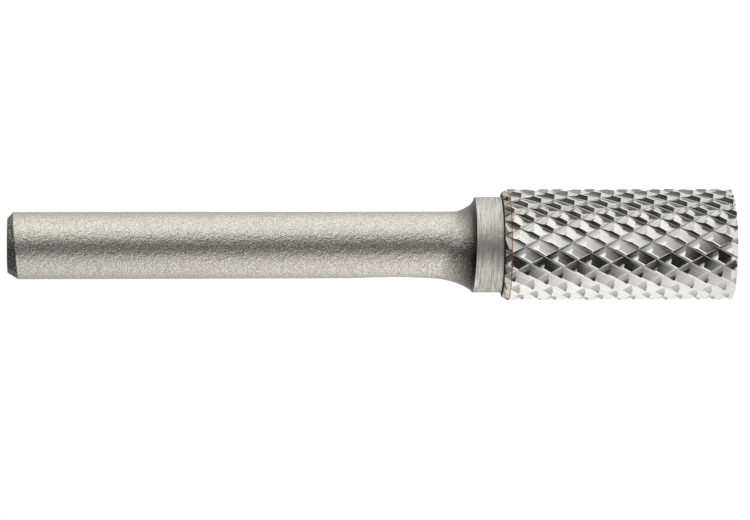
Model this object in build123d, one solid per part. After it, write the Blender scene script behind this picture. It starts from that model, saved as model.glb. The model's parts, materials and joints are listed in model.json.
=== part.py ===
from build123d import *
from math import cos, radians, sin, tan
import os

# Carbide burr, cylindrical cut, standing on the flat end of its head.
# Millimetres, +Z up along the axis from the head's end face to the shank's free end.

# Heights above the head's end face
CARBIDE_TOP = 20.1
BRAZE_TOP = 20.2
HEAD_TOP = 20.75
OVERALL_LENGTH = 65.0

# Ground radii
HEAD_RADIUS = 5.0
COLLAR_RADIUS = 4.3
SHANK_RADIUS = 3.0

# Edges broken on the blank before the teeth are cut
BACK_EDGE_BREAK = 0.3
END_EDGE_BREAK = 0.1

# Neck: from a waist just under the shank's surface, a wide curve and then a tight one, in degrees
# of arc, run out through the collar. Above the waist a slight cone runs out through the shank.
# Both are turned a little out of line, leaning about X and Y.
WAIST_HEIGHT = 26.5
WAIST_RADIUS = 2.985
WAIST_CONE_ANGLE = 10
WAIST_CONE_LENGTH = 3.0
NECK_WIDE_CURVE = 6.0
NECK_WIDE_ARC = 20
NECK_TIGHT_CURVE = 2.6
NECK_TIGHT_ARC = 26
NECK_RUN_OUT = 2.0
NECK_LEAN_X = -4.5
NECK_LEAN_Y = 5.0

# A shallow hollow ground along one side of the shank, next to the neck
HOLLOW_DEPTH = 0.095
HOLLOW_HEIGHT = 30.4
HOLLOW_LENGTH = 8.4

# Chamfer at the free end: a cone ground by hand, so its point stands beside the shank's axis
CHAMFER_HALF_ANGLE = 39.4
CHAMFER_LEAN = -8.4
CHAMFER_POINT_X = -0.71
CHAMFER_POINT_ABOVE_END = 2.86
CHAMFER_CONE_LENGTH = 8.0
CHAMFER_REACH = 2.0

# Main cut: right-hand flutes. Cross cut: left-hand flutes that chop the main teeth into diamonds.
# Shares are of one tooth's pitch: the land left on the ground cylinder, and where the valley lies.
# The start is the angle about the axis, from +X toward +Y, of one cutting edge at the head's top.
MAIN_FLUTES = 22
MAIN_LEAD = 53.0
MAIN_DEPTH = 0.43
MAIN_LAND = 0.065
MAIN_VALLEY = 0.84
MAIN_START = -77.4

CROSS_FLUTES = 16
CROSS_LEAD = 56.4
CROSS_DEPTH = 0.33
CROSS_LAND = 0.40
CROSS_VALLEY = 0.86
CROSS_START = -78.8


def ratchet_outline(flutes, depth, land, valley):
    """A ring of saw teeth seen down the axis: the cutting edge, its land, the long back, the steep face.

    The back and the face are carried on to where they meet above the ground cylinder, which
    later trims them to the land, so no edge of this outline lies on that cylinder.
    """
    pitch = radians(360 / flutes)
    peak_radius = HEAD_RADIUS + depth * land / (1 - land)
    peak = land * (1 - valley) / (1 - land)
    corners = []
    for tooth in range(flutes):
        corners.append((peak_radius, (tooth + peak) * pitch))
        corners.append((HEAD_RADIUS - depth, (tooth + valley) * pitch))
    return Wire.make_polygon([(r * cos(a), r * sin(a)) for r, a in corners], close=True)


def twisted_rod(outline, lead, start):
    """The outline carried down the head along its helix; a negative lead is left-hand."""
    twist = 360 * HEAD_TOP / lead
    rod = Solid.extrude_linear_with_rotation(
        Face(outline), center=(0, 0, 0), normal=(0, 0, HEAD_TOP), angle=twist
    )
    return Rot(0, 0, start - twist) * rod


def head_blank():
    """The ground cylinder of the head, carbide and steel together, before its teeth are cut."""
    outline = Polyline(
        (0, 0),
        (HEAD_RADIUS - END_EDGE_BREAK, 0),
        (HEAD_RADIUS, END_EDGE_BREAK),
        (HEAD_RADIUS, HEAD_TOP - BACK_EDGE_BREAK),
        (HEAD_RADIUS - BACK_EDGE_BREAK, HEAD_TOP),
        (0, HEAD_TOP),
        close=True,
    )
    return revolve(Plane.XZ * make_face(outline), Axis.Z)


def toothed_head():
    """The blank with both families of flutes ground across carbide, braze and steel at once."""
    main_outline = ratchet_outline(MAIN_FLUTES, MAIN_DEPTH, MAIN_LAND, MAIN_VALLEY)
    cross_outline = ratchet_outline(CROSS_FLUTES, CROSS_DEPTH, CROSS_LAND, CROSS_VALLEY)
    main = twisted_rod(main_outline, MAIN_LEAD, MAIN_START)
    cross = twisted_rod(cross_outline, -CROSS_LEAD, CROSS_START)
    return head_blank() & main & cross


def slice_between(shape, low, high):
    """The part of the shape between two heights."""
    above = split(shape, Plane.XY.offset(low), keep=Keep.TOP)
    return split(above, Plane.XY.offset(high), keep=Keep.BOTTOM)


def round_bar(radius, low, high):
    """A cylinder on the axis between two heights."""
    return Pos(0, 0, low) * Cylinder(radius, high - low, align=(Align.CENTER, Align.CENTER, Align.MIN))


def shank_tip():
    """The free end of the shank, inside the leaning cone of its chamfer."""
    cone = Cone(
        CHAMFER_CONE_LENGTH * tan(radians(CHAMFER_HALF_ANGLE)),
        0,
        CHAMFER_CONE_LENGTH,
        align=(Align.CENTER, Align.CENTER, Align.MAX),
    )
    point = Pos(CHAMFER_POINT_X, 0, OVERALL_LENGTH + CHAMFER_POINT_ABOVE_END)
    tip = round_bar(SHANK_RADIUS, OVERALL_LENGTH - CHAMFER_REACH, OVERALL_LENGTH)
    return tip & (point * Rot(0, CHAMFER_LEAN, 0) * cone)


def turned_out_of_line(outline):
    """An outline about the waist's centre, revolved about the neck's own leaning axis."""
    return Pos(0, 0, WAIST_HEIGHT) * Rot(NECK_LEAN_X, NECK_LEAN_Y, 0) * revolve(Plane.XZ * outline, Axis.Z)


def neck_and_collar():
    """The collar, its upper edge left uneven where the leaning neck runs out through it."""
    wide = JernArc((WAIST_RADIUS, 0), (0, -1), NECK_WIDE_CURVE, NECK_WIDE_ARC)
    tight = JernArc(wide @ 1, wide % 1, NECK_TIGHT_CURVE, NECK_TIGHT_ARC)
    run_out = PolarLine(tight @ 1, NECK_RUN_OUT, direction=tight % 1)
    rim = run_out @ 1
    floor = HEAD_TOP - WAIST_HEIGHT - NECK_RUN_OUT
    inside = Polyline(rim, (rim.X, floor), (0, floor), (0, 0), (WAIST_RADIUS, 0))
    neck = turned_out_of_line(make_face([wide, tight, run_out, inside]))
    return neck & round_bar(COLLAR_RADIUS, HEAD_TOP, WAIST_HEIGHT + COLLAR_RADIUS)


def side_hollow():
    """The wheel that grazes the -X side of the shank."""
    wheel_radius = HOLLOW_LENGTH**2 / (8 * HOLLOW_DEPTH)
    wheel = Cylinder(wheel_radius, 4 * SHANK_RADIUS, rotation=(90, 0, 0))
    return Pos(HOLLOW_DEPTH - SHANK_RADIUS - wheel_radius, 0, HOLLOW_HEIGHT) * wheel


def straight_shank():
    """The shank from the neck's waist to its chamfered end, with the hollow along one side."""
    cone_radius = WAIST_RADIUS + WAIST_CONE_LENGTH * tan(radians(WAIST_CONE_ANGLE))
    cone_outline = Polyline(
        (0, 0), (WAIST_RADIUS, 0), (cone_radius, WAIST_CONE_LENGTH), (0, WAIST_CONE_LENGTH), close=True
    )
    cone_top = WAIST_HEIGHT + WAIST_CONE_LENGTH / 2
    foot = round_bar(SHANK_RADIUS, WAIST_HEIGHT - WAIST_CONE_LENGTH / 2, cone_top)
    foot = foot & turned_out_of_line(make_face(cone_outline))
    middle = round_bar(SHANK_RADIUS, cone_top, OVERALL_LENGTH - CHAMFER_REACH)
    return foot + middle + shank_tip() - side_hollow()


head = toothed_head()
pieces = {
    "shank": straight_shank() + neck_and_collar() + slice_between(head, BRAZE_TOP, HEAD_TOP),
    "braze_layer": slice_between(head, CARBIDE_TOP, BRAZE_TOP),
    "cutting_head": slice_between(head, 0, CARBIDE_TOP),
}

os.makedirs("parts", exist_ok=True)
for name, piece in pieces.items():
    export_step(piece, f"parts/{name}.step")
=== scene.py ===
"""A carbide burr: a head of crossed helical teeth, brazed to a steel collar and a round shank.

Lengths are in metres and angles in radians. The burr stands on the end of its head, with +Z up
along its axis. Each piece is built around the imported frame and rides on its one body.
"""

import json
from itertools import pairwise
from math import acos, asin, atan2, cos, floor, hypot, pi, radians, sin, tan, tau

import bpy
from bpy.props import FloatProperty, FloatVectorProperty, IntProperty, PointerProperty
from mathutils import Matrix, Vector


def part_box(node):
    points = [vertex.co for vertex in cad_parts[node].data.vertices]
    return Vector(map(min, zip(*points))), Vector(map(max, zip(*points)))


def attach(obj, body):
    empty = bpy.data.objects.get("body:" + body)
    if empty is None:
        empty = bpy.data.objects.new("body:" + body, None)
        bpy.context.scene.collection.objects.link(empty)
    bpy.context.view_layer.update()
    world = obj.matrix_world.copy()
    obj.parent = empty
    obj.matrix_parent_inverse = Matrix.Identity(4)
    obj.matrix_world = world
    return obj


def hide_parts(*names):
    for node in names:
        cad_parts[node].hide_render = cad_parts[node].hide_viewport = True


bl_info = {
    "name": "Carbide Burr",
    "version": (1, 0, 0),
    "blender": (4, 5, 0),
    "location": "3D View > Sidebar > Burr",
    "description": "Builds a cylindrical carbide burr and the table it is shown on",
    "category": "Add Mesh",
}

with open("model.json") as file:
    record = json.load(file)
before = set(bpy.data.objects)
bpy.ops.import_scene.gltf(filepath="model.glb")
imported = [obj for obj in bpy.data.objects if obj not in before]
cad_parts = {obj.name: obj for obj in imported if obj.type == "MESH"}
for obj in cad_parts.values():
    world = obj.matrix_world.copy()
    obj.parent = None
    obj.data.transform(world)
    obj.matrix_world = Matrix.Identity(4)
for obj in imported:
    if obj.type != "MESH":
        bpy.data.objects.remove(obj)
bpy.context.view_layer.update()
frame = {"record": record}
HEAD_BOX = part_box("cutting_head")
BRAZE_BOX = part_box("braze_layer")
SHANK_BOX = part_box("shank")
GRIP = next(mount for mount in frame["record"]["mounts"] if mount["name"] == "shank_grip")

MM = 0.001

# How near to a plane counts as on it, and the grid on which corners are one corner
ON_PLANE = 1e-9
MERGE_GRID = 2e-8


def length(name, description, value):
    return FloatProperty(name=name, description=description, default=value, unit="LENGTH", precision=6)


def turn(name, description, degrees):
    return FloatProperty(name=name, description=description, default=radians(degrees), subtype="ANGLE")


def share(name, description, value):
    return FloatProperty(name=name, description=description, default=value, min=0, max=1, subtype="FACTOR")


def tint(name, description, value):
    return FloatVectorProperty(
        name=name, description=description, default=value, size=3, min=0, max=1, subtype="COLOR"
    )


class BurrTeeth(bpy.types.PropertyGroup):
    """The two families of flutes. Shares are of one tooth's pitch."""

    main_flutes: IntProperty(name="Main flutes", description="Right-hand flutes", default=22, min=3)
    main_lead: length("Main lead", "Height in which a main flute goes once round", 53.0 * MM)
    main_depth: length("Main depth", "Depth of the main flutes below the ground cylinder", 0.43 * MM)
    main_land: share("Main land", "What the main flutes leave of the ground cylinder", 0.085)
    main_valley: share("Main valley", "Where the bottom of a main flute lies", 0.84)
    main_start: turn("Main start", "Angle of a main cutting edge at the head's top", -77.4)
    cross_flutes: IntProperty(name="Cross flutes", description="Left-hand flutes", default=16, min=3)
    cross_lead: length("Cross lead", "Height in which a cross flute goes once round", 56.4 * MM)
    cross_depth: length("Cross depth", "Depth of the cross flutes below the ground cylinder", 0.40 * MM)
    cross_land: share("Cross land", "What the cross flutes leave of the ground cylinder", 0.42)
    cross_valley: share("Cross valley", "Where the bottom of a cross flute lies", 0.93)
    cross_start: turn("Cross start", "Angle of a cross cutting edge at the head's top", -78.8)
    root_radius: length("Root radius", "Rounding at the bottom of a flute", 0.07 * MM)


class BurrSizes(bpy.types.PropertyGroup):
    """The ground blank of the head, the collar, the neck and the shank."""

    head_radius: length("Head radius", "Ground cylinder of the head", HEAD_BOX[1].x)
    carbide_top: length("Carbide top", "Height at which the carbide ends", HEAD_BOX[1].z)
    braze_top: length("Braze top", "Height at which the braze ends", BRAZE_BOX[1].z)
    flange: length("Flange", "Toothed steel between the braze and the head's back face", 0.55 * MM)
    back_break: length("Back edge break", "Chamfer round the head's back face", 0.3 * MM)
    end_break: length("End edge break", "Chamfer round the head's end face", 0.1 * MM)
    collar_radius: length("Collar radius", "Turned collar behind the head", 4.3 * MM)
    shank_radius: length("Shank radius", "Straight shank", GRIP["dims"]["r_mm"] * MM)
    overall: length("Overall length", "From the head's end face to the shank's free end", SHANK_BOX[1].z)
    neck_height: length("Neck height", "Height at which the neck's curves begin", 26.8 * MM)
    neck_radius: length("Neck radius", "Radius of the neck at that height, about its own axis", 2.79 * MM)
    neck_axis_x: length("Neck axis", "How far the neck's axis stands beside the burr's", -0.24 * MM)
    neck_taper: turn("Neck taper", "Slope of the neck where it comes out of the shank", 4)
    wide_curve: length("Wide curve", "Radius of the neck's upper curve", 7.0 * MM)
    wide_arc: turn("Wide arc", "Turn of the neck's upper curve", 26)
    tight_curve: length("Tight curve", "Radius of the neck's lower curve", 1.2 * MM)
    tight_arc: turn("Tight arc", "Turn of the neck's lower curve", 39)
    hollow_depth: length("Hollow depth", "Shallow hollow along one side of the shank", 0.095 * MM)
    hollow_height: length("Hollow height", "Height of the hollow's middle", 30.4 * MM)
    hollow_length: length("Hollow length", "Length of the hollow", 8.4 * MM)
    chamfer_angle: turn("Chamfer angle", "Half angle of the cone at the free end", 39.4)
    chamfer_lean: turn("Chamfer lean", "Lean of that cone about Y", -8.4)
    chamfer_x: length("Chamfer point", "How far the cone's point stands beside the axis", -0.71 * MM)
    chamfer_above: length("Chamfer point height", "Height of the cone's point over the free end", 2.86 * MM)


class BurrFinish(bpy.types.PropertyGroup):
    """Colours of the bare metals, of what has settled on them, and of painted shade."""

    carbide: tint("Carbide", "Ground tungsten carbide", (0.80, 0.785, 0.75))
    steel: tint("Steel", "Fine blasted steel of the shank", (0.74, 0.705, 0.64))
    collar: tint("Collar", "Turned steel of the collar", (0.66, 0.64, 0.60))
    flange: tint("Flange", "Ground steel behind the braze", (0.62, 0.60, 0.55))
    braze: tint("Braze", "Copper braze", (0.42, 0.25, 0.18))
    scale: tint("Scale", "Dark skin left on the end chamfer", (0.15, 0.16, 0.145))
    # painted shade: this dark colour stands in for shade in the neck's corner, at the collar's foot, on the
    # head's back face and on the steep tooth faces
    painted_shade: tint("Painted shade", "Dark painted shade in the corner of the neck", (0.10, 0.115, 0.10))
    stain: tint("Stain", "Brown left by the flux behind the braze", (0.14, 0.115, 0.09))


class BurrStudio(bpy.types.PropertyGroup):
    """Camera, floor, lamps, and a sheet round the burr that paints dark reflections and a reflected soft
    light.
    """

    camera_distance: length("Camera distance", "From the burr's axis to the camera", 0.393)
    camera_height: length("Camera height", "Height of the camera", 53.2 * MM)
    camera_side: length("Camera side", "The camera's place along X", -1.35 * MM)
    camera_dip: turn("Camera dip", "How far the camera looks down", 3.068)
    camera_roll: turn("Camera roll", "Roll that brings the head up in the frame", 0.129)
    focal_widths: FloatProperty(name="Focal length", description="In image widths", default=4387 / 750)
    world_fill: share("World fill", "Strength of the white world on matt surfaces", 1.0)
    floor_glow: share("Floor glow", "What the floor gives back by itself to the eye and to metal", 0.40)
    shade_left: share("Left side", "How much of the white room shows past the cloth on the -X side", 0.85)
    floor_grey: tint("Floor", "Colour of the floor", (0.80, 0.80, 0.80))


# ---------------------------------------------------------------- mesh tools


def mixed(here, there, part):
    return tuple(a + (b - a) * part for a, b in zip(here, there))


def clipped(polygon, height):
    """The part of a convex polygon where the height isn't above zero."""
    kept = []
    for here, there in zip(polygon, polygon[1:] + polygon[:1]):
        before, after = height(here), height(there)
        if before <= ON_PLANE:
            kept.append(here)
        if before * after < 0 and min(abs(before), abs(after)) > ON_PLANE:
            kept.append(mixed(here, there, before / (before - after)))
    return kept if len(kept) > 2 else []


class Skin:
    """Faces gathered over shared corners. Faces of different kinds meet in a sharp edge."""

    def __init__(self):
        self.corners = {}
        self.faces = []
        self.kinds = []
        self.maps = []

    def corner(self, point):
        key = tuple(round(c / MERGE_GRID) for c in point)
        return self.corners.setdefault(key, (len(self.corners), tuple(point)))[0]

    def add(self, points, kind, map_points):
        ring = []
        for number, place in zip((self.corner(p) for p in points), map_points):
            if not ring or number != ring[-1][0]:
                ring.append((number, place))
        if len(ring) > 1 and ring[0][0] == ring[-1][0]:
            ring.pop()
        if len({number for number, _ in ring}) > 2:
            self.faces.append([number for number, _ in ring])
            self.maps.append([place for _, place in ring])
            self.kinds.append(kind)

    def rims(self):
        """The directed edges that have a face on one side only."""
        sides = {pair for face in self.faces for pair in zip(face, face[1:] + face[:1])}
        return [(a, b) for a, b in sides if (b, a) not in sides]

    def places(self):
        return [place for _, place in self.corners.values()]

    def mesh(self, name, materials):
        """A mesh whose faces take the material slot that their kind has in materials."""
        mesh = bpy.data.meshes.new(name)
        mesh.from_pydata(self.places(), [], self.faces)
        for material in materials.values():
            if material.name not in mesh.materials:
                mesh.materials.append(material)
        slots = [mesh.materials.find(materials[kind].name) for kind in self.kinds]
        mesh.polygons.foreach_set("material_index", slots)
        mesh.polygons.foreach_set("use_smooth", [True] * len(self.faces))
        layer = mesh.uv_layers.new(name="UVMap")
        layer.data.foreach_set("uv", [c for face in self.maps for place in face for c in place])
        kinds_at = {}
        for face, kind in zip(self.faces, self.kinds):
            for pair in zip(face, face[1:] + face[:1]):
                kinds_at.setdefault(frozenset(pair), set()).add(kind)
        for edge in mesh.edges:
            edge.use_edge_sharp = len(kinds_at[frozenset(edge.vertices)]) > 1
        mesh.validate()
        return mesh


def require_closed(skin, what):
    if skin.rims():
        raise RuntimeError(f"the {what} has {len(skin.rims())} open edges")


def put(name, data):
    """Puts a new object in the scene."""
    thing = bpy.data.objects.new(name, data)
    bpy.context.scene.collection.objects.link(thing)
    return thing


def place_piece(name, mesh, node):
    """Puts a finished mesh in the scene in place of its CAD node."""
    piece = put(name, mesh)
    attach(piece, "root")
    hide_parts(node)


# ---------------------------------------------------------------- toothed head


# Steps round the bottom of a flute, and up the long back of a tooth
ROOT_STEPS = 4
BACK_STEPS = 4

# How far past its bottom, in shares of a pitch, a main flute's steep face begins
ROOT_SHARE = 0.01

# Where a corner on the lattice holds the radius of each family's flutes
MAIN, CROSS = 2, 3

# Kinds of face on the toothed side: both families' flutes, the steep face of each, and the land
TOOTHED = ("main", "cross", "throat", "edge", "land")


def along_chord(start, end, angle):
    """The distance from the axis, at an angle, of the straight line between two polar points."""
    (near, first), (far, last) = start, end
    return near * far * sin(last - first) / (near * sin(angle - first) + far * sin(last - angle))


def flute_profile(radius, flutes, depth, land, valley, root):
    """One tooth from cutting edge to cutting edge, as (share of the pitch, radius) pairs."""
    pitch = tau / flutes
    crest_share = land * (1 - valley) / (1 - land)
    crest = (radius + depth * land / (1 - land), crest_share * pitch)
    bottom = (radius - depth, valley * pitch)
    next_crest = (crest[0], (1 + crest_share) * pitch)
    corner, back, face = (r * complex(cos(a), sin(a)) for r, a in (bottom, crest, next_crest))
    up_back = (back - corner) / abs(back - corner)
    up_face = (face - corner) / abs(face - corner)
    opening = acos((up_back.conjugate() * up_face).real)
    centre = corner + (up_back + up_face) / abs(up_back + up_face) * root / sin(opening / 2)
    from_back = corner + up_back * root / tan(opening / 2) - centre
    sweep = pi - opening
    turns = [sweep * step / ROOT_STEPS for step in range(ROOT_STEPS + 1)]
    rounding = [centre + from_back * complex(cos(turned), -sin(turned)) for turned in turns]
    rounding = [(atan2(p.imag, p.real) / pitch, abs(p)) for p in rounding]
    outline = [(0, radius), (crest_share, crest[0]), (land, radius)]
    for step in range(1, BACK_STEPS):
        at = land + (rounding[0][0] - land) * step / BACK_STEPS
        outline.append((at, along_chord(crest, bottom, at * pitch)))
    outline += rounding
    half_way = (1 + rounding[-1][0]) / 2
    outline.append((half_way, along_chord(bottom, next_crest, half_way * pitch)))
    outline.append((1, radius))
    return outline


class Lattice:
    """The head's skin over the lattice of its two families of teeth.

    A place on it is (main, cross): tooth numbers with shares of a pitch. A corner of a face holds
    that place and the radius that each family of flutes has there.
    """

    def __init__(self, teeth, sizes):
        self.sizes = sizes
        self.top = sizes.braze_top + sizes.flange
        self.main_flutes, self.cross_flutes = teeth.main_flutes, teeth.cross_flutes
        self.main_pitch, self.cross_pitch = tau / teeth.main_flutes, tau / teeth.cross_flutes
        self.main_turn, self.cross_turn = tau / teeth.main_lead, tau / teeth.cross_lead
        self.main_valley, self.cross_valley = teeth.main_valley, teeth.cross_valley
        self.starts_apart = teeth.cross_start - teeth.main_start
        self.main_start = teeth.main_start
        self.main_profile = flute_profile(
            sizes.head_radius, teeth.main_flutes, teeth.main_depth,
            teeth.main_land, teeth.main_valley, teeth.root_radius,
        )
        self.cross_profile = flute_profile(
            sizes.head_radius, teeth.cross_flutes, teeth.cross_depth,
            teeth.cross_land, teeth.cross_valley, teeth.root_radius,
        )

    def height(self, corner):
        main, cross = corner[:2]
        apart = self.starts_apart + self.cross_pitch * cross - self.main_pitch * main
        return self.top + apart / (self.main_turn + self.cross_turn)

    def ground(self, height):
        """The ground blank's radius at a height, with its edges broken at both ends."""
        s = self.sizes
        above_end = s.head_radius - s.end_break + height
        below_top = s.head_radius - s.back_break + self.top - height
        return min(s.head_radius, above_end, below_top)

    def point(self, corner):
        height = self.height(corner)
        radius = min(corner[2], corner[3], self.ground(height))
        angle = self.main_start + self.main_pitch * corner[0] + self.main_turn * (height - self.top)
        return radius * cos(angle), radius * sin(angle), height

    def cells(self, low, high):
        """The small quads between the profiles' points that reach into the slab."""
        reach = (self.main_turn + self.cross_turn) / self.cross_pitch
        for main in range(self.main_flutes):
            at_top = (self.main_pitch * main - self.starts_apart) / self.cross_pitch
            first = floor(at_top + (low - self.top) * reach) - 1
            last = floor(at_top + self.main_pitch / self.cross_pitch + (high - self.top) * reach) + 1
            for cross in range(first, last + 1):
                for (a0, ra0), (a1, ra1) in pairwise(self.main_profile):
                    for (b0, rb0), (b1, rb1) in pairwise(self.cross_profile):
                        quad = [
                            (main + a0, cross + b0, ra0, rb0),
                            (main + a1, cross + b0, ra1, rb0),
                            (main + a1, cross + b1, ra1, rb1),
                            (main + a0, cross + b1, ra0, rb1),
                        ]
                        heights = [self.height(corner) for corner in quad]
                        if max(heights) > low and min(heights) < high:
                            yield quad

    def over_ground(self, corner, family):
        """How far a family's flutes lie above the ground blank at a corner."""
        return corner[family] - self.ground(self.height(corner))

    def facets(self, quad):
        """The quad cut up by which surface is the lowest there: a flute of either family, or the land.

        The steep faces of the two families are kinds of their own: throat and edge.
        """
        if not quad:
            return
        main_share, cross_share = (sum(c[axis] for c in quad) / len(quad) % 1 for axis in (0, 1))
        main_kind = "throat" if main_share > self.main_valley + ROOT_SHARE else "main"
        cross_kind = "edge" if cross_share > self.cross_valley else "cross"
        for kind, own, other in ((main_kind, MAIN, CROSS), (cross_kind, CROSS, MAIN)):
            lowest = clipped(quad, lambda c: c[own] - c[other])
            yield kind, clipped(lowest, lambda c: self.over_ground(c, own))
            yield "land", clipped(lowest, lambda c: -self.over_ground(c, own))

    def map_point(self, kind, corner):
        """Map coordinates for the grinding lines: across them first, along them second."""
        height, radius = self.height(corner), self.sizes.head_radius
        if kind == "land":
            return height, radius * (self.main_pitch * corner[0] + self.main_turn * height)
        tooth, pitch, pace = (
            (corner[0], self.main_pitch, self.main_turn)
            if kind in ("main", "throat")
            else (corner[1], self.cross_pitch, self.cross_turn)
        )
        return radius * pitch * tooth, height * hypot(1, radius * pace)

    def add_slab(self, skin, low, high):
        """Adds the toothed side of the head between two heights."""
        s = self.sizes
        breaks = [z for z in (s.end_break, self.top - s.back_break) if low < z < high]
        levels = list(pairwise([low, *breaks, high]))
        for quad in self.cells(low, high):
            for bottom, top in levels:
                slab = clipped(quad, lambda c: bottom - self.height(c))
                slab = clipped(slab, lambda c: self.height(c) - top)
                for kind, facet in self.facets(slab):
                    if facet:
                        maps = [self.map_point(kind, corner) for corner in facet]
                        skin.add([self.point(corner) for corner in facet], kind, maps)


def rim_at(skin, height):
    """The skin's open edges at a height, as (here, next) corner numbers."""
    places = skin.places()
    return [
        (a, b) for a, b in skin.rims()
        if abs(places[a][2] - height) < ON_PLANE * 10 and abs(places[b][2] - height) < ON_PLANE * 10
    ]


def add_cap(skin, height, kind):
    """Closes the skin at a height with a flat face, in triangles round its middle."""
    places = skin.places()
    centre = (0.0, 0.0, height)
    for here, there in rim_at(skin, height):
        corners = [places[there], places[here], centre]
        skin.add(corners, kind, [face_map(point) for point in corners])


def face_map(point):
    """Map coordinates on a flat face: distance from the axis, and distance round it."""
    return hypot(point[0], point[1]), atan2(point[1], point[0]) * hypot(point[0], point[1])


def add_annulus(skin, outer, inner, kind):
    """Fills a flat ring, seen from above, between an outer and an inner ring of points."""
    def by_angle(ring):
        ring = sorted(ring, key=lambda p: atan2(p[1], p[0]))
        return ring + ring[:1]

    def angle_of(ring, number):
        if number >= len(ring):
            return float("inf")
        return atan2(ring[number][1], ring[number][0]) + (tau if number == len(ring) - 1 else 0)

    outer, inner = by_angle(outer), by_angle(inner)
    out, into = 0, 0
    while out < len(outer) - 1 or into < len(inner) - 1:
        if angle_of(outer, out + 1) <= angle_of(inner, into + 1):
            corners = [inner[into], outer[out], outer[out + 1]]
            out += 1
        else:
            corners = [inner[into], outer[out], inner[into + 1]]
            into += 1
        skin.add(corners, kind, [face_map(point) for point in corners])


# ---------------------------------------------------------------- steel shank


SHANK_COLUMNS = 216
COLLAR_ROWS = 4
CHAMFER_ROWS = 4

# Rows of faces on the neck's tight curve, on its wide one, along the hollow, and up to the chamfer
STEEL_ROWS = (14, 18, 44, 12)

# How often a crossing's range is halved
HALVINGS = 50

# Softness of the place where the neck comes out of the shank
BLEND = 0.05 * MM


def crossing(inside, low, high):
    """Where, between a number that is inside and one that isn't, the inside ends."""
    for _ in range(HALVINGS):
        middle = (low + high) / 2
        low, high = (middle, high) if inside(middle) else (low, middle)
    return low


def neck_drops(sizes):
    """How far down the neck's wide curve goes, and its tight one."""
    s = sizes
    wide_end = s.neck_taper + s.wide_arc
    wide = s.wide_curve * (sin(wide_end) - sin(s.neck_taper))
    return wide, s.tight_curve * (sin(wide_end + s.tight_arc) - sin(wide_end))


def neck_reach(sizes, bearing, height):
    """How far from the burr's axis the neck reaches: a taper, a wide curve, a tight one, a run-out.

    The neck is turned about an axis of its own, a little beside the burr's.
    """
    s = sizes
    below = s.neck_height - height
    wide_drop, tight_drop = neck_drops(s)
    wide_end = s.neck_taper + s.wide_arc
    wide = asin(sin(s.neck_taper) + min(max(below, 0), wide_drop) / s.wide_curve)
    tight = asin(sin(wide_end) + min(max(below - wide_drop, 0), tight_drop) / s.tight_curve)
    radius = s.neck_radius + min(below, 0) * tan(s.neck_taper)
    radius += s.wide_curve * (cos(s.neck_taper) - cos(wide)) + s.tight_curve * (cos(wide_end) - cos(tight))
    radius += max(below - wide_drop - tight_drop, 0) * tan(wide_end + s.tight_arc)
    across = s.neck_axis_x * sin(bearing)
    return s.neck_axis_x * cos(bearing) + (radius**2 - across**2) ** 0.5


def shank_reach(sizes, bearing, height):
    """How far the shank reaches, less what a wheel took off its -X side in a shallow hollow."""
    s = sizes
    if cos(bearing) >= 0:
        return s.shank_radius
    wheel = s.hollow_length**2 / (8 * s.hollow_depth)
    wheel_axis = s.hollow_depth - s.shank_radius - wheel
    face = wheel_axis + (wheel**2 - (height - s.hollow_height) ** 2) ** 0.5
    return min(s.shank_radius, face / cos(bearing))


def steel_column(sizes, bearing, top_of_head):
    """Points up the steel at one bearing, from the collar's upper edge to the end chamfer."""
    s = sizes

    def within_collar(height):
        return neck_reach(s, bearing, height) > s.collar_radius

    stations = [
        crossing(within_collar, top_of_head, s.neck_height),
        s.neck_height - neck_drops(s)[0],
        s.neck_height,
        s.hollow_height + s.hollow_length / 2,
        chamfer_height(s, s.shank_radius * cos(bearing), s.shank_radius * sin(bearing)),
    ]
    column = []
    for (low, high), rows in zip(pairwise(stations), STEEL_ROWS):
        for height in (low + (high - low) * step / rows for step in range(rows)):
            neck, shank = neck_reach(s, bearing, height), shank_reach(s, bearing, height)
            reach = (neck + shank + hypot(neck - shank, BLEND)) / 2
            column.append((reach * cos(bearing), reach * sin(bearing), height))
    return column


def chamfer_height(sizes, x, y):
    """How high the leaning cone of the end chamfer stands over a place."""
    s = sizes
    tip = s.overall + s.chamfer_above

    def inside(height):
        across, up = x - s.chamfer_x, height - tip
        turned_across = across * cos(s.chamfer_lean) - up * sin(s.chamfer_lean)
        turned_up = across * sin(s.chamfer_lean) + up * cos(s.chamfer_lean)
        return hypot(turned_across, y) < -turned_up * tan(s.chamfer_angle)

    return crossing(inside, s.overall - s.shank_radius, tip)


def chamfer_column(sizes, bearing):
    """Points up the end chamfer, from the shank to the flat end face."""
    s = sizes

    def at(radius):
        x, y = radius * cos(bearing), radius * sin(bearing)
        return x, y, chamfer_height(s, x, y)

    end = crossing(lambda radius: at(radius)[2] > s.overall, 0, s.shank_radius)
    up = [at(s.shank_radius + (end - s.shank_radius) * step / CHAMFER_ROWS) for step in range(CHAMFER_ROWS)]
    return up + [(end * cos(bearing), end * sin(bearing), s.overall)]


def add_rows(skin, sizes, rings, kind):
    """Quads between rings that each have one point for every column of the shank."""
    arc = tau * sizes.shank_radius / SHANK_COLUMNS
    for lower, upper in pairwise(rings):
        for here in range(SHANK_COLUMNS):
            there = (here + 1) % SHANK_COLUMNS
            corners = [lower[here], lower[there], upper[there], upper[here]]
            around = [arc * here, arc * (here + 1), arc * (here + 1), arc * here]
            skin.add(corners, kind, [(corner[2], place) for corner, place in zip(corners, around)])


def add_collar(skin, sizes, top_of_head, edge):
    """The head's back face and the turned collar, up to its uneven upper edge."""
    places = skin.places()
    outline = [places[here] for here, _ in rim_at(skin, top_of_head)]
    foot = [(x, y, top_of_head) for x, y, _ in edge]
    add_annulus(skin, outline, foot, "back")
    rings = [
        [mixed(low, high, step / COLLAR_ROWS) for low, high in zip(foot, edge)]
        for step in range(COLLAR_ROWS + 1)
    ]
    add_rows(skin, sizes, rings, "collar")


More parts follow.
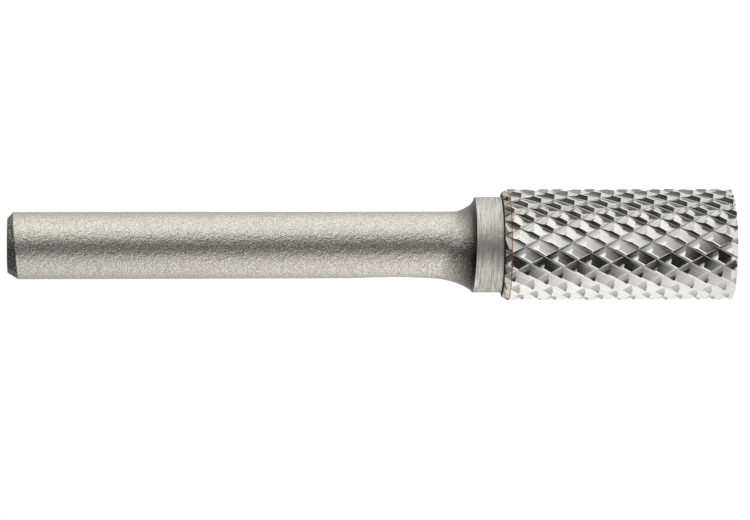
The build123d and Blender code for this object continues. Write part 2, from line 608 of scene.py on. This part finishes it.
def add_steel(skin, sizes, top_of_head):
    """Adds the collar, the neck, the shank and its end to a skin that holds the toothed flange."""
    bearings = [tau * number / SHANK_COLUMNS for number in range(SHANK_COLUMNS)]
    steel = list(zip(*(steel_column(sizes, bearing, top_of_head) for bearing in bearings)))
    chamfer = list(zip(*(chamfer_column(sizes, bearing) for bearing in bearings)))
    add_collar(skin, sizes, top_of_head, steel[0])
    add_rows(skin, sizes, [*steel, chamfer[0]], "shank")
    add_rows(skin, sizes, chamfer, "chamfer")
    add_cap(skin, sizes.overall, "end")


# ---------------------------------------------------------------- shader effects


class Wiring:
    """Adds nodes to a tree. A value given to a socket is a number, a colour or another socket."""

    def __init__(self, tree):
        self.tree = tree

    def feed(self, socket, value):
        if isinstance(value, bpy.types.NodeSocket):
            self.tree.links.new(value, socket)
        else:
            socket.default_value = value

    def add(self, kind, values=None, **settings):
        node = self.tree.nodes.new(kind)
        for name, value in settings.items():
            setattr(node, name, value)
        for name, value in (values or {}).items():
            self.feed(node.inputs[name], value)
        return node

    def math(self, operation, *values):
        return self.add("ShaderNodeMath", dict(enumerate(values)), operation=operation).outputs[0]

    def range(self, value, low, high, to_low=0.0, to_high=1.0, smooth=False):
        node = self.add(
            "ShaderNodeMapRange",
            {"Value": value, "From Min": low, "From Max": high, "To Min": to_low, "To Max": to_high},
            interpolation_type="SMOOTHSTEP" if smooth else "LINEAR",
        )
        return node.outputs["Result"]

    def between(self, part, low, high):
        """From low to high as a part goes from 0 to 1."""
        return self.range(part, 0.0, 1.0, low, high)

    def blend(self, part, first, second):
        node = self.add("ShaderNodeMix", data_type="RGBA")
        self.feed(node.inputs[0], part)
        self.feed(node.inputs[6], first)
        self.feed(node.inputs[7], second)
        return node.outputs[2]

    def noise(self, place, scale, detail=2.0, roughness=0.5):
        values = {"Vector": place, "Scale": scale, "Detail": detail, "Roughness": roughness}
        return self.add("ShaderNodeTexNoise", values).outputs[0]

    def stretched(self, place, across, along, deep):
        """The place in units of a length across, along and deep."""
        sizes = [self.math("DIVIDE", 1.0, size) for size in (across, along, deep)]
        scale = self.add("ShaderNodeCombineXYZ", dict(zip("XYZ", sizes))).outputs[0]
        node = self.add("ShaderNodeVectorMath", {0: place, 1: scale}, operation="MULTIPLY")
        return node.outputs[0]


def effect(name, inputs, outputs, build):
    """A node group with named sockets, made once. build(wiring, given, result) fills it."""
    if name in bpy.data.node_groups:
        return bpy.data.node_groups[name]
    group = bpy.data.node_groups.new(name, "ShaderNodeTree")
    for label, kind in inputs.items():
        group.interface.new_socket(label, in_out="INPUT", socket_type=kind)
    for label in outputs:
        group.interface.new_socket(label, in_out="OUTPUT", socket_type="NodeSocketFloat")
    given = group.nodes.new("NodeGroupInput").outputs
    result = group.nodes.new("NodeGroupOutput").inputs
    build(Wiring(group), given, result)
    return group


def grinding_lines():
    """Fine parallel lines along the second axis of a map, as height and as shade."""

    def build(w, given, result):
        place = w.stretched(given["Map"], given["Width"], given["Length"], 1.0)
        fine = w.noise(place, 1.0, 3.0, 0.7)
        broad = w.noise(w.stretched(place, 4.0, 2.0, 1.0), 1.0, 1.0)
        w.feed(result["Height"], w.math("MULTIPLY_ADD", broad, 1.5, fine))
        w.feed(result["Shade"], w.range(w.math("ADD", fine, broad), 0.7, 1.3))

    inputs = {"Map": "NodeSocketVector", "Width": "NodeSocketFloat", "Length": "NodeSocketFloat"}
    return effect("Grinding lines", inputs, ("Height", "Shade"), build)


def turned_rings():
    """Fine rings about the axis, each a little uneven round its length."""

    def build(w, given, result):
        place = w.stretched(given["Place"], given["Length"], given["Length"], given["Width"])
        fine = w.noise(place, 1.0, 3.0, 0.7)
        w.feed(result["Height"], fine)
        w.feed(result["Shade"], w.range(fine, 0.3, 0.7))

    inputs = {"Place": "NodeSocketVector", "Width": "NodeSocketFloat", "Length": "NodeSocketFloat"}
    return effect("Turned rings", inputs, ("Height", "Shade"), build)


def blasted_grain():
    """The pits of a blasted surface, as height and as shade."""

    def build(w, given, result):
        place = w.stretched(given["Place"], given["Size"], given["Size"], given["Size"])
        pits = w.noise(place, 1.0, 2.0, 0.6)
        coarse = w.noise(place, 0.35, 1.0)
        w.feed(result["Height"], w.math("MULTIPLY_ADD", coarse, 0.8, pits))
        w.feed(result["Shade"], w.range(pits, 0.3, 0.7))

    inputs = {"Place": "NodeSocketVector", "Size": "NodeSocketFloat"}
    return effect("Blasted grain", inputs, ("Height", "Shade"), build)


def grime():
    """Soft patches where dirt has settled, from 0, clean, to 1."""

    def build(w, given, result):
        place = w.stretched(given["Place"], given["Size"], given["Size"], given["Size"])
        patches = w.noise(place, 1.0, 3.0, 0.6)
        edge = w.math("SUBTRACT", 0.85, w.math("MULTIPLY", given["Amount"], 0.6))
        w.feed(result["Mask"], w.range(patches, edge, w.math("ADD", edge, 0.25), smooth=True))

    inputs = {"Place": "NodeSocketVector", "Size": "NodeSocketFloat", "Amount": "NodeSocketFloat"}
    return effect("Grime", inputs, ("Mask",), build)


# ---------------------------------------------------------------- finishes


# Heights between which painted shade darkens the steel toward the corner of the neck
NECK_SHADE_TOP = 26.6 * MM
NECK_SHADE_FULL = 23.2 * MM

# Heights between which painted shade, with some flux dirt, darkens the collar's foot
FOOT_SHADE_TOP = 20.90 * MM
FOOT_SHADE_FULL = 20.84 * MM


def toned(colour, part):
    return (*(c * part for c in colour), 1.0)


class Surface(Wiring):
    """A material while it is wired. Its effects lie over the place on the burr, or the mesh's map."""

    def __init__(self, name, metallic=1.0):
        self.material = bpy.data.materials.new(name)
        self.material.use_nodes = True
        super().__init__(self.material.node_tree)
        self.shader = self.tree.nodes["Principled BSDF"].inputs
        self.shader["Metallic"].default_value = metallic
        self.place = self.add("ShaderNodeTexCoord").outputs["Object"]

    def placed(self, group, values):
        """What an effect puts out, given its own values."""
        return self.add("ShaderNodeGroup", values, node_tree=group).outputs.values()

    def lines(self, width, along):
        place = self.add("ShaderNodeUVMap", uv_map="UVMap").outputs[0]
        return self.placed(grinding_lines(), {"Map": place, "Width": width, "Length": along})

    def rings(self, width, along):
        return self.placed(turned_rings(), {"Place": self.place, "Width": width, "Length": along})

    def grain(self, size):
        return self.placed(blasted_grain(), {"Place": self.place, "Size": size})

    def dirt(self, size, amount):
        return self.placed(grime(), {"Place": self.place, "Size": size, "Amount": amount})[0]

    def soiled(self, colour, dirt_colour, size, amount, strength):
        """The colour, seen through patches of dirt."""
        return self.blend(self.math("MULTIPLY", self.dirt(size, amount), strength), colour, dirt_colour)

    def height(self):
        return self.add("ShaderNodeSeparateXYZ", {0: self.place}).outputs["Z"]

    def finished(self, colour, roughness, relief=None, depth=0.0):
        """The material, once its shader has a colour, a roughness and a relief of a depth."""
        self.feed(self.shader["Base Color"], colour)
        self.feed(self.shader["Roughness"], roughness)
        if relief is not None:
            bump = self.add("ShaderNodeBump", {"Height": relief, "Distance": depth, "Strength": 1.0})
            self.feed(self.shader["Normal"], bump.outputs[0])
        return self.material


def carbide_flutes(finish):
    """Bright flutes with the wheel's fine lines along them."""
    w = Surface("ground_carbide_flutes")
    height, shade = w.lines(width=0.05 * MM, along=3.0 * MM)
    colour = w.blend(shade, toned(finish.carbide, 0.80), toned(finish.carbide, 1.0))
    colour = w.soiled(colour, toned(finish.flange, 0.7), size=1.2 * MM, amount=0.35, strength=0.25)
    return w.finished(colour, w.between(shade, 0.20, 0.13), height, depth=0.0035 * MM)


def carbide_throats(finish):
    """The steep faces of the main teeth, darkened with painted shade."""
    w = Surface("shaded_tooth_throats")
    height, shade = w.lines(width=0.05 * MM, along=3.0 * MM)
    # painted shade: the steep faces are coloured near black
    colour = w.blend(shade, toned(finish.painted_shade, 1.2), toned(finish.carbide, 0.5))
    return w.finished(colour, w.between(shade, 0.4, 0.25), height, depth=0.002 * MM)


def carbide_lands(finish):
    """The lands and cross edges, matt and lighter than the carbide: partly wear, partly a painted
    highlight, with lines round the head.
    """
    w = Surface("ground_carbide_lands", metallic=0.0)
    height, shade = w.rings(width=0.03 * MM, along=4.0 * MM)
    # painted highlight on top of wear: the lands and cross edges are coloured lighter than the carbide
    # itself
    colour = w.blend(shade, toned(finish.carbide, 1.1), toned(finish.carbide, 1.22))
    return w.finished(colour, w.between(shade, 0.56, 0.46), height, depth=0.0006 * MM)


def ground_face(name, colour, roughness):
    """A flat face, ground in fine arcs about the axis."""
    w = Surface(name)
    height, shade = w.lines(width=0.05 * MM, along=6.0 * MM)
    tone = w.blend(shade, toned(colour, 0.82), toned(colour, 1.0))
    tone = w.soiled(tone, toned(colour, 0.5), size=2.5 * MM, amount=0.4, strength=0.4)
    return w.finished(
        tone, w.between(shade, roughness + 0.06, roughness - 0.04), height, depth=0.002 * MM
    )


def blasted_steel(finish):
    """Fine blasted steel, with painted shade that deepens toward the corner of the neck."""
    w = Surface("blasted_steel")
    pits, shade = w.grain(size=0.13 * MM)
    colour = w.blend(shade, toned(finish.steel, 0.56), toned(finish.steel, 1.2))
    # painted shade: the steel is coloured darker toward the corner of the neck
    corner = w.range(w.height(), NECK_SHADE_TOP, NECK_SHADE_FULL)
    colour = w.blend(w.math("MULTIPLY", corner, corner), colour, toned(finish.painted_shade, 0.3))
    colour = w.soiled(colour, toned(finish.steel, 0.6), size=5.0 * MM, amount=0.3, strength=0.15)
    return w.finished(colour, w.between(shade, 0.33, 0.22), pits, depth=0.052 * MM)


def turned_steel(finish):
    """The collar, turned in fine rings, with painted shade and some flux dirt in the corner at its foot."""
    w = Surface("turned_collar_steel")
    rings, shade = w.rings(width=0.09 * MM, along=2.2 * MM)
    pits, _ = w.grain(size=0.11 * MM)
    colour = w.blend(shade, toned(finish.collar, 0.45), toned(finish.collar, 1.32))
    # painted shade with some flux dirt: the collar is coloured darker in the corner at its foot
    colour = w.blend(w.range(w.height(), FOOT_SHADE_TOP, FOOT_SHADE_FULL), colour, toned(finish.painted_shade, 0.3))
    relief = w.math("ADD", pits, rings)
    return w.finished(colour, w.between(shade, 0.5, 0.38), relief, depth=0.032 * MM)


def scaled_chamfer(finish):
    """The end chamfer under its dark skin, worn through in specks."""
    w = Surface("chamfer_scale")
    pits, shade = w.grain(size=0.12 * MM)
    specks = w.range(shade, 0.55, 0.9)
    colour = w.blend(specks, toned(finish.scale, 1.0), toned(finish.steel, 1.2))
    return w.finished(colour, w.between(shade, 0.62, 0.42), pits, depth=0.05 * MM)


def ground_steel_flutes(finish):
    """The steel behind the braze, ground with the head and a little soiled."""
    w = Surface("ground_steel_flutes")
    height, shade = w.lines(width=0.04 * MM, along=2.0 * MM)
    colour = w.blend(shade, toned(finish.flange, 0.8), toned(finish.flange, 1.0))
    colour = w.soiled(colour, toned(finish.stain, 1.0), size=0.4 * MM, amount=0.6, strength=0.7)
    return w.finished(colour, w.between(shade, 0.34, 0.22), height, depth=0.0015 * MM)


def copper_braze(finish):
    """The copper line of the joint, dulled here and there."""
    w = Surface("copper_braze")
    dull = w.dirt(size=0.7 * MM, amount=0.7)
    colour = w.blend(dull, toned(finish.braze, 1.0), toned(finish.braze, 0.45))
    return w.finished(colour, w.between(dull, 0.35, 0.6))


# ---------------------------------------------------------------- table, sheet of painted reflections, lamps and camera


FLOOR_HALF = 3.0

# Lamps as (name, place, aim, width, height, watts)
LAMPS = (
    ("key_lamp", (0.55, -0.35, 0.40), (0, 0, 0.03), 0.45, 0.35, 0.6),
    ("fill_lamp", (-0.55, -0.45, 0.45), (0, 0, 0.03), 0.40, 0.40, 0.3),
)

# What the sheet shows of itself, a painted dark reflection, and how strong its raised +X side glows, as a
# painted reflected soft light
DARK_REFLECTION_GLOW = 0.02
SOFT_LIGHT = 1.25
REFLECTION_TINT = (0.97, 1.0, 0.98, 1.0)

# The sheet is a dome of steps and rows, and a ring on the table that begins clear of the head
# and lies just over the floor
SHADE_RADIUS = 0.6
SHADE_STEPS = 48
SHADE_ROWS = 12
SHADE_GAP = 5.3 * MM
SHADE_LIFT = 0.2 * MM


def empty_material(name):
    """A material with only its output. Gives its wiring and the output's surface with it."""
    material = bpy.data.materials.new(name)
    material.use_nodes = True
    material.node_tree.nodes.clear()
    w = Wiring(material.node_tree)
    return material, w, w.add("ShaderNodeOutputMaterial").inputs["Surface"]


def soft_black(name, left):
    """Black sheet before the burr and above it, seen only in reflections, that thins out to nothing at the
    sides: painted dark reflections, with a painted reflected soft light on its raised +X side.

    Every range below is in parts of the direction from the burr, and fades over a width, so that
    no edge of the sheet is sharp in the metal.
    """
    material, w, surface = empty_material(name)
    place = w.add("ShaderNodeTexCoord").outputs["Object"]
    toward = w.add("ShaderNodeVectorMath", {0: place}, operation="NORMALIZE").outputs[0]
    x, y, z = w.add("ShaderNodeSeparateXYZ", {0: toward}).outputs
    right = w.math("MULTIPLY", w.range(x, 0.13, 0.93), w.range(y, 0.2, 0.9, 1.0, 0.85))
    low_left = w.math("MULTIPLY", w.range(x, -0.18, -0.88), w.range(z, 0.0, 0.85, left, 0.0))
    behind = w.range(y, 0.3, 0.9, 0.0, 0.55)
    raised = w.math("MULTIPLY", w.range(x, 0.12, 0.55), w.range(z, 0.08, 0.28))
    lit = w.math("MULTIPLY", raised, w.range(y, 0.4, -0.2))
    clear = w.math("MAXIMUM", w.math("MAXIMUM", right, low_left), behind)
    clear = w.math("MULTIPLY", clear, w.math("SUBTRACT", 1.0, lit))
    # painted reflection: near black where the sheet is dark, glowing as a painted soft light on its raised
    # +X side, seen only in the metal
    glow = w.between(lit, DARK_REFLECTION_GLOW, SOFT_LIGHT)
    reflection_sheet = w.add("ShaderNodeEmission", {"Color": REFLECTION_TINT, "Strength": glow}).outputs[0]
    gap = w.add("ShaderNodeBsdfTransparent").outputs[0]
    w.feed(surface, w.add("ShaderNodeMixShader", {0: clear, 1: reflection_sheet, 2: gap}).outputs[0])
    return material


def shade_dome():
    """A dome over the burr, as quads."""
    def point(around, up):
        bearing, rise = tau * around / SHADE_STEPS, pi / 2 * up / SHADE_ROWS
        flat = SHADE_RADIUS * cos(rise)
        return flat * cos(bearing), flat * sin(bearing), SHADE_RADIUS * sin(rise)

    return [
        [point(a, u), point(a + 1, u), point(a + 1, u + 1), point(a, u + 1)]
        for u in range(SHADE_ROWS) for a in range(SHADE_STEPS)
    ]


def shade_ring():
    """A flat ring on the table round the burr, as quads."""
    def point(around, radius):
        bearing = tau * around / SHADE_STEPS
        return radius * cos(bearing), radius * sin(bearing), SHADE_LIFT

    return [
        [point(a, SHADE_GAP), point(a, SHADE_RADIUS), point(a + 1, SHADE_RADIUS), point(a + 1, SHADE_GAP)]
        for a in range(SHADE_STEPS)
    ]


def add_shade(name, quads, left):
    """Black sheet round the burr that only shows in its gloss: painted dark reflections and a painted
    reflected soft light.
    """
    skin = Skin()
    for quad in quads:
        skin.add(quad, name, [corner[:2] for corner in quad])
    shade = put(name, skin.mesh(name, {name: soft_black(name, left)}))
    shade.visible_camera = False
    shade.visible_diffuse = False
    shade.visible_transmission = False
    shade.visible_shadow = False


def add_lamp(name, place, aim, width, height, watts):
    lamp = bpy.data.lights.new(name, "AREA")
    lamp.shape = "RECTANGLE"
    lamp.size, lamp.size_y, lamp.energy = width, height, watts
    holder = put(name, lamp)
    holder.location = place
    holder.rotation_euler = (Vector(aim) - Vector(place)).to_track_quat("-Z", "Y").to_euler()


def seen_directly(w):
    """1 for what the eye, gloss or glass sees, and 0 for light on matt surfaces."""
    path = w.add("ShaderNodeLightPath").outputs
    either = w.math("MAXIMUM", path["Is Camera Ray"], path["Is Glossy Ray"])
    return w.math("MAXIMUM", either, path["Is Transmission Ray"])


def add_world(scene, studio):
    world = bpy.data.worlds.new("white_room")
    world.use_nodes = True
    w = Wiring(world.node_tree)
    background = world.node_tree.nodes["Background"]
    background.inputs["Color"].default_value = (1, 1, 1, 1)
    w.feed(background.inputs["Strength"], w.between(seen_directly(w), studio.world_fill, 1.0))
    scene.world = world


def add_floor(studio):
    material, w, surface = empty_material("pale_floor")
    matt = w.add("ShaderNodeBsdfDiffuse", {"Color": (*studio.floor_grey, 1)}).outputs[0]
    strength = w.math("MULTIPLY", seen_directly(w), studio.floor_glow)
    glow = w.add("ShaderNodeEmission", {"Strength": strength}).outputs[0]
    w.feed(surface, w.add("ShaderNodeAddShader", {0: matt, 1: glow}).outputs[0])
    corners = ((-1, -1), (1, -1), (1, 1), (-1, 1))
    mesh = bpy.data.meshes.new("floor")
    mesh.from_pydata([(x * FLOOR_HALF, y * FLOOR_HALF, 0) for x, y in corners], [], [range(4)])
    mesh.materials.append(material)
    put("floor", mesh)


def add_camera(scene, studio):
    """A camera that dips a little towards the head, turned so that the burr lies across the frame."""
    camera = bpy.data.cameras.new("camera")
    camera.sensor_width = 36
    camera.lens = camera.sensor_width * studio.focal_widths
    camera.clip_start = 0.01
    ahead = Vector((0, cos(studio.camera_dip), -sin(studio.camera_dip)))
    right = ahead.cross(Vector((1, 0, 0))).normalized()
    up = right.cross(ahead)
    across = right * cos(studio.camera_roll) - up * sin(studio.camera_roll)
    above = up * cos(studio.camera_roll) + right * sin(studio.camera_roll)
    matrix = Matrix((across, above, -ahead)).transposed().to_4x4()
    matrix.translation = (studio.camera_side, -studio.camera_distance, studio.camera_height)
    scene.camera = put("camera", camera)
    scene.camera.matrix_world = matrix


# ---------------------------------------------------------------- operators


class BURR_OT_cutting_head(bpy.types.Operator):
    """Builds the carbide head with its crossed teeth"""

    bl_idname = "burr.cutting_head"
    bl_label = "Cutting Head"

    def execute(self, context):
        scene = context.scene
        skin = Skin()
        Lattice(scene.burr_teeth, scene.burr_sizes).add_slab(skin, 0.0, scene.burr_sizes.carbide_top)
        add_cap(skin, 0.0, "end")
        add_cap(skin, scene.burr_sizes.carbide_top, "end")
        require_closed(skin, "cutting head")
        flutes = carbide_flutes(scene.burr_finish)
        lands = carbide_lands(scene.burr_finish)
        materials = {
            "main": flutes,
            "cross": flutes,
            "land": lands,
            "edge": lands,
            "throat": carbide_throats(scene.burr_finish),
            "end": ground_face("ground_carbide_end", scene.burr_finish.carbide, 0.22),
        }
        place_piece("toothed_head", skin.mesh("toothed_head", materials), "cutting_head")
        return {"FINISHED"}


class BURR_OT_braze(bpy.types.Operator):
    """Builds the thin braze between the carbide and the steel"""

    bl_idname = "burr.braze"
    bl_label = "Braze Layer"

    def execute(self, context):
        scene = context.scene
        sizes = scene.burr_sizes
        skin = Skin()
        Lattice(scene.burr_teeth, sizes).add_slab(skin, sizes.carbide_top, sizes.braze_top)
        add_cap(skin, sizes.carbide_top, "end")
        add_cap(skin, sizes.braze_top, "end")
        require_closed(skin, "braze layer")
        materials = dict.fromkeys((*TOOTHED, "end"), copper_braze(scene.burr_finish))
        place_piece("braze_line", skin.mesh("braze_line", materials), "braze_layer")
        return {"FINISHED"}


class BURR_OT_shank(bpy.types.Operator):
    """Builds the toothed flange, the collar, the neck and the shank in one piece"""

    bl_idname = "burr.shank"
    bl_label = "Collar and Shank"

    def execute(self, context):
        scene = context.scene
        sizes, finish = scene.burr_sizes, scene.burr_finish
        top_of_head = sizes.braze_top + sizes.flange
        skin = Skin()
        Lattice(scene.burr_teeth, sizes).add_slab(skin, sizes.braze_top, top_of_head)
        add_cap(skin, sizes.braze_top, "back")
        add_steel(skin, sizes, top_of_head)
        require_closed(skin, "shank")
        materials = {
            **dict.fromkeys(TOOTHED, ground_steel_flutes(finish)),
            # painted shade with some dirt: the head's back face, in the step beside the collar, is coloured
            # near black
            "back": ground_face("turned_back_face", finish.painted_shade, 0.6),
            "collar": turned_steel(finish),
            "shank": blasted_steel(finish),
            "chamfer": scaled_chamfer(finish),
            "end": ground_face("shank_end_face", finish.collar, 0.4),
        }
        place_piece("collar_and_shank", skin.mesh("collar_and_shank", materials), "shank")
        return {"FINISHED"}


class BURR_OT_studio(bpy.types.Operator):
    """Builds the floor, the world, the lamps, the sheet of painted reflections and the camera"""

    bl_idname = "burr.studio"
    bl_label = "Table and Camera"

    def execute(self, context):
        studio = context.scene.burr_studio
        add_world(context.scene, studio)
        add_floor(studio)
        add_shade("shade_overhead", shade_dome(), studio.shade_left)
        add_shade("shade_on_table", shade_ring(), 1.0)
        for lamp in LAMPS:
            add_lamp(*lamp)
        add_camera(context.scene, studio)
        context.scene.view_settings.view_transform = "Standard"
        return {"FINISHED"}


# ---------------------------------------------------------------- panel and registration


class BURR_PT_tools(bpy.types.Panel):
    """Lists what can be built"""

    bl_idname = "BURR_PT_tools"
    bl_label = "Carbide Burr"
    bl_space_type = "VIEW_3D"
    bl_region_type = "UI"
    bl_category = "Burr"

    def draw(self, context):
        for operator in OPERATORS:
            self.layout.operator(operator.bl_idname)
        for name in GROUPS:
            for key in getattr(context.scene, name).bl_rna.properties.keys():
                if key not in ("rna_type", "name"):
                    self.layout.prop(getattr(context.scene, name), key)


GROUPS = {
    "burr_teeth": BurrTeeth,
    "burr_sizes": BurrSizes,
    "burr_finish": BurrFinish,
    "burr_studio": BurrStudio,
}
OPERATORS = (BURR_OT_cutting_head, BURR_OT_braze, BURR_OT_shank, BURR_OT_studio)


def register():
    for name, group in GROUPS.items():
        bpy.utils.register_class(group)
        setattr(bpy.types.Scene, name, PointerProperty(type=group))
    for operator in OPERATORS:
        bpy.utils.register_class(operator)
    bpy.utils.register_class(BURR_PT_tools)


def unregister():
    bpy.utils.unregister_class(BURR_PT_tools)
    for operator in reversed(OPERATORS):
        bpy.utils.unregister_class(operator)
    for name, group in reversed(GROUPS.items()):
        delattr(bpy.types.Scene, name)
        bpy.utils.unregister_class(group)


def main():
    register()
    bpy.ops.burr.cutting_head()
    bpy.ops.burr.braze()
    bpy.ops.burr.shank()
    bpy.ops.burr.studio()
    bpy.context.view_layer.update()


if __name__ == "__main__":
    main()
